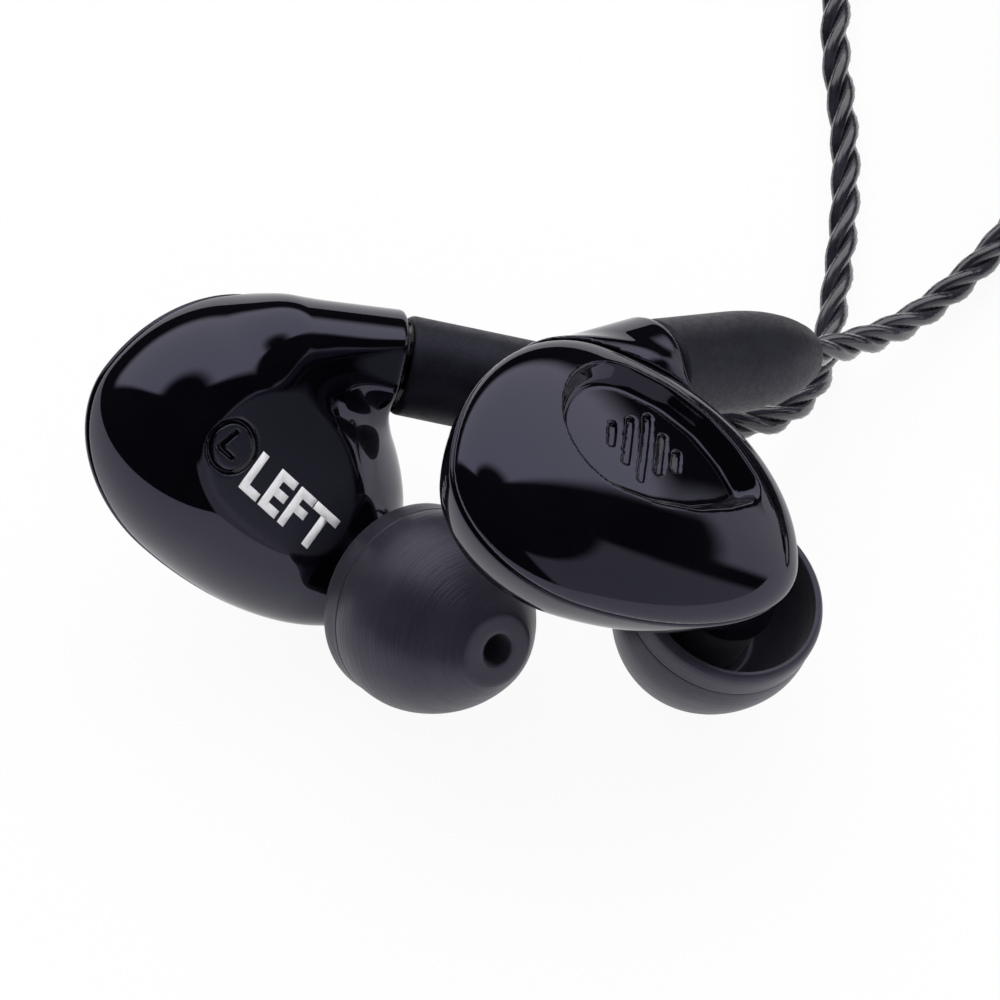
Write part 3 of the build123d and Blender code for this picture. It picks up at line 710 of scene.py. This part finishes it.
DOME = (
    (6.05, 0.0), (6.3, 0.25), (6.4, 0.7), (6.42, 1.4), (6.43, 1.72), (6.38, 1.8), (6.44, 1.9),
    (6.52, 2.6), (6.5, 3.5), (6.3, 4.5), (5.9, 5.7), (5.32, 6.9), (4.58, 8.05), (3.75, 9.15),
    (3.1, 9.85), (2.75, 10.17), (2.5, 10.38), (2.25, 10.48), (1.85, 10.5), (1.25, 10.5),
    (1.05, 10.42), (1.0, 10.2), (1.0, 7.35), (2.3, 7.3), (2.3, 1.1), (2.45, 1.0), (2.85, 1.0),
    (3.0, 1.2),
    (3.0, 5.2), (3.2, 5.7), (3.7, 5.75), (4.5, 4.9), (5.2, 3.6), (5.6, 2.4), (5.7, 1.2),
    (5.7, 0.15), (5.8, 0.0),
)


def eased(points, steps=3):
    """A closed outline drawn smoothly through its points."""
    spots = [Vector(point) for point in points]
    count = len(spots)
    out = []
    for i in range(count):
        a, b, c, d = (spots[(i + k) % count] for k in (-1, 0, 1, 2))
        for step in range(steps):
            t = step / steps
            out.append(0.5 * (2 * b + (c - a) * t + (2 * a - 5 * b + 4 * c - d) * t * t
                              + (3 * b - a - 3 * c + d) * t ** 3))
    return out


for side in ("left", "right"):
    place = axis_place(side, NOZZLE_SEAT, NOZZLE_WAY)
    tip = turn(f"{side}_silicone_tip", eased(DOME), place, silicone, around=144)
    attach(tip, f"{side}_tip")
    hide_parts(f"{side}_ear_tip")


# ---- Nozzles, driver and connector ---------------------------------------------------------
# The turned aluminium nozzle, its steel screen, the moving-coil driver with its leads, and
# the gold-plated snap connector keep their machined shapes and get their real finishes.
def plain_metal(name, dark, light, rough):
    """A metal with fine uneven polish."""
    finish, tree, shader = new_finish(name, light, rough)
    shader.inputs["Metallic"].default_value = 1.0
    tint(tree, speckle(tree, 1200), dark, light, shader)
    spread_to(tree, speckle(tree, 4000), rough * 0.7, rough * 1.4, shader.inputs["Roughness"])
    relief(tree, speckle(tree, 6000), 0.08, 0.00003, shader)
    return finish


def plain_plastic(name, dark, light, rough):
    """A moulded plastic with a fine texture."""
    finish, tree, shader = new_finish(name, light, rough)
    tint(tree, speckle(tree, 900), dark, light, shader)
    spread_to(tree, speckle(tree, 3000), rough * 0.8, rough * 1.2, shader.inputs["Roughness"])
    relief(tree, speckle(tree, 7000), 0.15, 0.00004, shader)
    return finish


finishes = {
    "nozzle_metal": plain_metal("nozzle_metal", (0.36, 0.36, 0.38), (0.5, 0.5, 0.52), 0.35),
    "screen_steel": plain_metal("screen_steel", (0.42, 0.42, 0.44), (0.55, 0.55, 0.57), 0.25),
    "driver_steel": plain_metal("driver_steel", (0.36, 0.36, 0.37), (0.46, 0.46, 0.48), 0.32),
    "magnet": plain_metal("magnet", (0.26, 0.26, 0.28), (0.36, 0.36, 0.38), 0.2),
    "copper_wire": plain_metal("copper_wire", (0.6, 0.25, 0.12), (0.78, 0.4, 0.2), 0.25),
    "gold_plate": plain_metal("gold_plate", (0.78, 0.55, 0.2), (0.9, 0.68, 0.3), 0.16),
    "film": plain_plastic("film", (0.3, 0.25, 0.14), (0.4, 0.34, 0.2), 0.3),
    "board": plain_plastic("board", (0.02, 0.12, 0.05), (0.04, 0.2, 0.09), 0.4),
    "inner_plastic": plain_plastic("inner_plastic", (0.04, 0.04, 0.045), (0.07, 0.07, 0.075), 0.5),
    "barrel_rubber": rubber,
}
black_nickel = plain_metal("black_nickel", (0.02, 0.02, 0.024), (0.035, 0.035, 0.04), 0.3)
REPLACED = {"cable_coil", "leg_tails", "lead_ends", "coil_tie", "left_leg", "right_leg"}
for entry in frame["record"]["subparts"]:
    if entry["material_slot"] in finishes and entry["node"] not in REPLACED:
        node = nodes[entry["node"]]
        node.data.materials.clear()
        dark = entry["node"].endswith(("socket_body", "plug_core"))
        node.data.materials.append(black_nickel if dark else finishes[entry["material_slot"]])


# ---- Splitter, chin slider and plug --------------------------------------------------------
# Soft rubber mouldings on the cable: the splitter where both legs meet, the sliding bead
# above it, and the plug's grip with its ribbed strain relief.
def lying_along(x, y, z, way):
    """A frame in metres at a point given in millimetres, with Z along a level way."""
    out = Vector(way).normalized()
    across = out.cross(Vector((0, 0, 1)))
    turned = Matrix((across, out.cross(across), out)).transposed().to_4x4()
    return Matrix.Translation(Vector((x, y, z)) * 0.001) @ turned


SPLITTER = (
    (0, 0, 0), (1.9, 0, 0.3), (2.35, 0.5, 0.4), (2.55, 2.5, 1.0), (2.58, 6.0, 1.0),
    (2.3, 9.0, 1.0),
    (2.3, 9.5, 0.1), (2.05, 9.55, 0.1), (2.05, 9.95, 0.1), (2.2, 10.0, 0.1), (2.1, 10.6, 0.1),
    (1.85, 10.65, 0.1), (1.85, 11.05, 0.1), (2.0, 11.1, 0.1), (1.9, 11.7, 0.1), (1.65, 11.75, 0.1),
    (1.65, 12.15, 0.1), (1.75, 12.2, 0.1), (1.6, 13.0, 0.2), (0, 13.0, 0),
)
splitter_place = lying_along(*SPLITTER_TOP, (0, -1, 0))
splitter = turn("cable_splitter", rounded(SPLITTER, 3), splitter_place, rubber)
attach(splitter, "root")
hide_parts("splitter")

RIB_PITCH = 1.25
plug_place = lying_along(44.4, 35.4, 11.7, (0, 1, 0))
GRIP = [(0, 6.0, 0), (2.4, 6.0, 0.2), (3.05, 6.5, 0.5)]
for groove in range(6):
    at = 8.0 + groove * RIB_PITCH
    GRIP += [(3.08, at, 0.08), (2.88, at + 0.12, 0.08), (2.88, at + 0.42, 0.08),
             (3.08, at + 0.54, 0.08)]
GRIP += [(3.05, 17.5, 0.4), (2.3, 18.0, 0.2), (0, 18.0, 0)]
grip = turn("plug_grip", rounded(GRIP, 3), plug_place, rubber)
RELIEF = [(1.22, 0, 0), (1.65, 0, 0.15)]
for rib in range(4):
    at = 0.7 + rib * RIB_PITCH
    wide = 1.75 + rib * 0.16
    RELIEF += [(wide, at, 0.1), (wide - 0.3, at + 0.1, 0.1), (wide - 0.28, at + 0.45, 0.1),
               (wide + 0.05, at + 0.55, 0.1)]
RELIEF += [(2.38, 5.8, 0.2), (2.35, 6.0, 0), (1.22, 6.0, 0)]
boot = turn("plug_boot", rounded(RELIEF, 3), plug_place, rubber)
for piece, node in ((grip, "jack_housing"), (boot, "jack_relief")):
    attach(piece, "root")
    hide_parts(node)

bead = bpy.data.meshes.new("cable_slider")
shape = bmesh.new()
rings = 10
corners = 48
SLIDER_START = (80.2, 33.4, 2.6)
SLIDER_LENGTH = 5
loops = []
for wall in (0, 1):
    for ring in range(rings + 1):
        along = ring / rings
        swell = 1 - 0.1 * (2 * along - 1) ** 4 if not wall else 1
        loop = []
        for corner in range(corners):
            angle = 2 * pi * corner / corners
            if wall:
                wide, tall = 2.18, 1.08
            else:
                wide, tall = 2.75 * swell, 2.38 * swell
            loop.append(shape.verts.new(((SLIDER_START[0] + wide * cos(angle)) * 0.001,
                                         (SLIDER_START[1] + SLIDER_LENGTH * along) * 0.001,
                                         (SLIDER_START[2] + tall * sin(angle)) * 0.001)))
        loops.append(loop)
outer, hole = loops[:rings + 1], loops[rings + 1:]
for wall in (outer, hole):
    for a, b in zip(wall, wall[1:]):
        for corner in range(corners):
            after = (corner + 1) % corners
            shape.faces.new((a[corner], a[after], b[after], b[corner]))
for end in (0, -1):
    for corner in range(corners):
        after = (corner + 1) % corners
        shape.faces.new((outer[end][corner], outer[end][after],
                         hole[end][after], hole[end][corner]))
bmesh.ops.recalc_face_normals(shape, faces=shape.faces)
for face in shape.faces:
    face.smooth = True
shape.to_mesh(bead)
shape.free()
bead.set_sharp_from_angle(angle=radians(50))
bead.materials.append(rubber)
slider = bpy.data.objects.new("cable_slider", bead)
bpy.context.collection.objects.link(slider)
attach(slider, "slider")
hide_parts("chin_slider")


# ---- Table, light and camera ---------------------------------------------------------------
# A white card table under one broad soft box, overhead and behind the earpieces, with the
# camera high in front.  The gloss mirrors three soft-edged screens in a dark room.
TABLE_SEEN = 0.93
TABLE_MIRRORED = 0.5
ROOM_LIGHT = 0.6
ROOM_MIRRORED = 0.012
table = bpy.data.meshes.new("table")
shape = bmesh.new()
bmesh.ops.create_circle(shape, cap_ends=True, segments=96, radius=0.42)
for vertex in shape.verts:
    vertex.co.y += 0.05
    vertex.co.z = -0.00002
shape.to_mesh(table)
shape.free()
card, tree, shader = new_finish("table_card", (0.86, 0.86, 0.87), 0.7)
shader.inputs["Specular IOR Level"].default_value = 0.1
tint(tree, speckle(tree, 30), (0.85, 0.85, 0.86), (0.87, 0.87, 0.88), shader)
glow = tree.nodes.new("ShaderNodeEmission")
glow.inputs["Strength"].default_value = 1.0
seen = tree.nodes.new("ShaderNodeLightPath")
mirrored = tree.nodes.new("ShaderNodeMath")
mirrored.operation = "MULTIPLY"
mirrored.inputs[1].default_value = TABLE_MIRRORED
share = tree.nodes.new("ShaderNodeMath")
share.operation = "MULTIPLY_ADD"
share.inputs[1].default_value = TABLE_SEEN
mix = tree.nodes.new("ShaderNodeMixShader")
output = tree.nodes["Material Output"]
tree.links.new(seen.outputs["Is Glossy Ray"], mirrored.inputs[0])
tree.links.new(seen.outputs["Is Camera Ray"], share.inputs[0])
tree.links.new(mirrored.outputs[0], share.inputs[2])
tree.links.new(share.outputs[0], mix.inputs[0])
tree.links.new(shader.outputs[0], mix.inputs[1])
tree.links.new(glow.outputs[0], mix.inputs[2])
tree.links.new(mix.outputs[0], output.inputs["Surface"])
table.materials.append(card)
table_piece = bpy.data.objects.new("table", table)
bpy.context.collection.objects.link(table_piece)

world = bpy.data.worlds.new("room")
bpy.context.scene.world = world
world.use_nodes = True
tree = world.node_tree
back = tree.nodes["Background"]
back.inputs["Color"].default_value = (1, 1, 1, 1)


def sum_of(tree, operation, first, second):
    """One sum of two sockets or numbers."""
    node = tree.nodes.new("ShaderNodeMath")
    node.operation = operation
    for socket, value in zip(node.inputs, (first, second)):
        if isinstance(value, (int, float)):
            socket.default_value = value
        else:
            tree.links.new(value, socket)
    return node.outputs[0]


def soft_edge(tree, angle, start, end):
    """Rise smoothly from 0 at one angle, in degrees, to 1 at the other."""
    edge = tree.nodes.new("ShaderNodeMapRange")
    edge.interpolation_type = "SMOOTHSTEP"
    edge.inputs["From Min"].default_value = radians(start)
    edge.inputs["From Max"].default_value = radians(end)
    tree.links.new(angle, edge.inputs["Value"])
    return edge.outputs["Result"]


seen = tree.nodes.new("ShaderNodeLightPath")
toward = tree.nodes.new("ShaderNodeTexCoord")
parts = tree.nodes.new("ShaderNodeSeparateXYZ")
tree.links.new(toward.outputs["Generated"], parts.inputs[0])
round_about = sum_of(tree, "ARCTAN2", parts.outputs["X"], parts.outputs["Y"])
high_up = sum_of(tree, "ARCSINE", parts.outputs["Z"], 0)
dim = tree.nodes.new("ShaderNodeMix")
dim.inputs["A"].default_value = ROOM_LIGHT
dim.inputs["B"].default_value = ROOM_MIRRORED
tree.links.new(seen.outputs["Is Glossy Ray"], dim.inputs["Factor"])
light = dim.outputs["Result"]
# Each screen's first and last bearing from the back, first and last height, edge and light.
SCREENS = (
    (-62, 66, 19, 72, 5, 1.6), (100, 172, -12, 36, 3, 0.55), (58, 88, -12, 17, 3, 1.0),
)
for first, last, low, high, edge, radiance in SCREENS:
    glow = sum_of(tree, "MULTIPLY", soft_edge(tree, round_about, first - edge, first + edge),
                  soft_edge(tree, round_about, last + edge, last - edge))
    glow = sum_of(tree, "MULTIPLY", glow, soft_edge(tree, high_up, low - edge, low + edge))
    glow = sum_of(tree, "MULTIPLY", glow, soft_edge(tree, high_up, high + edge, high - edge))
    light = sum_of(tree, "ADD", light, sum_of(tree, "MULTIPLY", glow, radiance))
full = tree.nodes.new("ShaderNodeMix")
full.inputs["B"].default_value = 1.0
tree.links.new(seen.outputs["Is Camera Ray"], full.inputs["Factor"])
tree.links.new(light, full.inputs["A"])
tree.links.new(full.outputs["Result"], back.inputs["Strength"])

BOX_AT = Vector((-0.10, 0.42, 0.62))
BOX_AIM = Vector((0, 0.005, 0.01))
BOX_RADIANCE = 0.9
lamp = bpy.data.lights.new("box_over", "AREA")
lamp.shape = "RECTANGLE"
lamp.size = 0.62
lamp.size_y = 0.40
lamp.energy = BOX_RADIANCE * pi * lamp.size * lamp.size_y
holder = bpy.data.objects.new("box_over", lamp)
holder.location = BOX_AT
holder.visible_glossy = False
holder.rotation_euler = (BOX_AIM - BOX_AT).to_track_quat("-Z", "Y").to_euler()
bpy.context.collection.objects.link(holder)

scene = bpy.context.scene
scene.view_settings.view_transform = "Standard"
camera = bpy.data.cameras.new("camera")
camera.sensor_width = 36
camera.lens = 335.2
camera.clip_start = 0.01
camera.clip_end = 10
eye = bpy.data.objects.new("camera", camera)
LOOKED_AT = Vector((0.00240, 0.00641, 0.00001))
TOWARD_EYE = Vector((0, -0.5, 0.8660254))
EYE_AWAY = 0.6
eye.location = LOOKED_AT + TOWARD_EYE * EYE_AWAY
eye.rotation_euler = (-TOWARD_EYE).to_track_quat("-Z", "Y").to_euler()
bpy.context.collection.objects.link(eye)
scene.camera = eye
